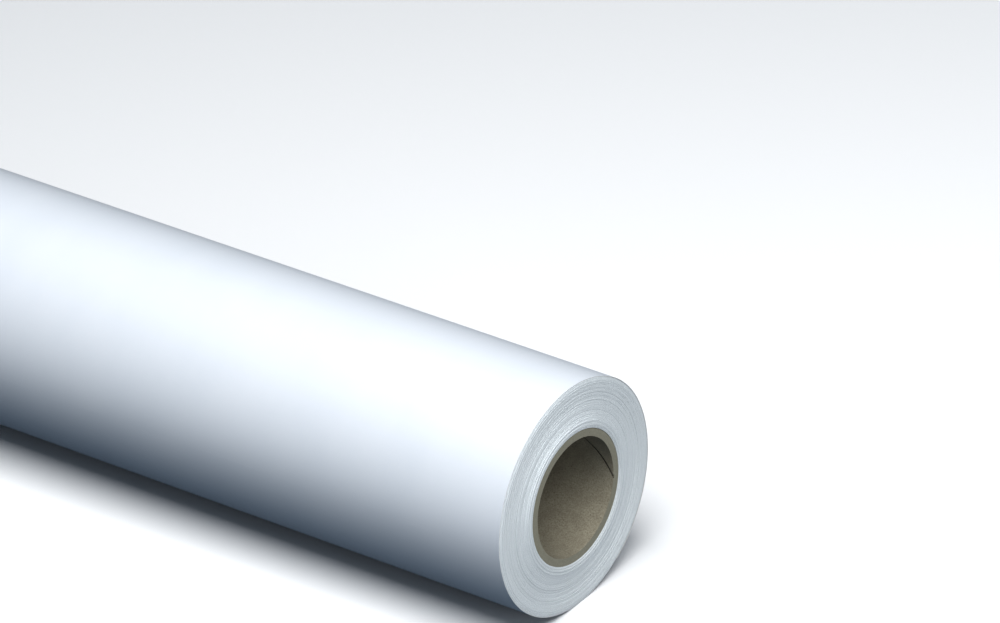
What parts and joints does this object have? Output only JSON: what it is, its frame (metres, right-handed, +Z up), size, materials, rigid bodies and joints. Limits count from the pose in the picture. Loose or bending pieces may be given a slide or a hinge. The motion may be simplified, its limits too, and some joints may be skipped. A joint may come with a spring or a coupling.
{
  "type": "roll of sign vinyl",
  "caption": "Roll of white self-adhesive sign vinyl on a spiral-wound chipboard core, film side out, with its taped free end able to lift and lie back.",
  "frame": {"origin": "centre of the core's bore, half way along the roll", "axes": "+X along the roll's axis, +Z up with the roll lying on its side, free edge low at the back (+Y)"},
  "size_m": [0.6112, 0.0999, 0.0996],
  "materials": {
    "core_board": "matte",
    "start_tape": "matte",
    "web_edge": "matte",
    "liner_paper": "satin",
    "adhesive": "gloss",
    "vinyl_film": "satin",
    "masking_tape": "matte"
  },
  "bodies": {
    "roll": {"core_ply_1": "core_board", "core_ply_2": "core_board", "core_ply_3": "core_board", "core_ply_4": "core_board", "core_ply_5": "core_board", "core_ply_6": "core_board", "start_tape": "start_tape", "wound_turns": "web_edge", "outer_turn_liner": "liner_paper", "outer_turn_adhesive": "adhesive", "outer_turn_film": "vinyl_film"},
    "tail_1": {"tail_1_liner": "liner_paper", "tail_1_adhesive": "adhesive", "tail_1_film": "vinyl_film"},
    "tail_2": {"tail_2_liner": "liner_paper", "tail_2_adhesive": "adhesive", "tail_2_film": "vinyl_film"},
    "tail_3": {"tail_3_liner": "liner_paper", "tail_3_adhesive": "adhesive", "tail_3_film": "vinyl_film", "edge_tape_1": "masking_tape", "edge_tape_2": "masking_tape"}
  },
  "joints": [
    {"name": "tail_lift_1", "type": "hinge", "parent": "roll", "child": "tail_1", "pos_m": [0, 0.03534, 0.03525], "axis": [1, 0, 0], "range_deg": [0, 35], "stiffness_Nm_per_rad": 0.02},
    {"name": "tail_lift_2", "type": "hinge", "parent": "tail_1", "child": "tail_2", "pos_m": [0, 0.0492, 0.00861], "axis": [1, 0, 0], "range_deg": [0, 35], "stiffness_Nm_per_rad": 0.02},
    {"name": "tail_lift_3", "type": "hinge", "parent": "tail_2", "child": "tail_3", "pos_m": [0, 0.04528, -0.02116], "axis": [1, 0, 0], "range_deg": [0, 35], "stiffness_Nm_per_rad": 0.02}
  ],
  "couplings": [
    {"joint": "tail_lift_2", "follows": "tail_lift_1", "ratio": 1},
    {"joint": "tail_lift_3", "follows": "tail_lift_1", "ratio": 1}
  ]
}
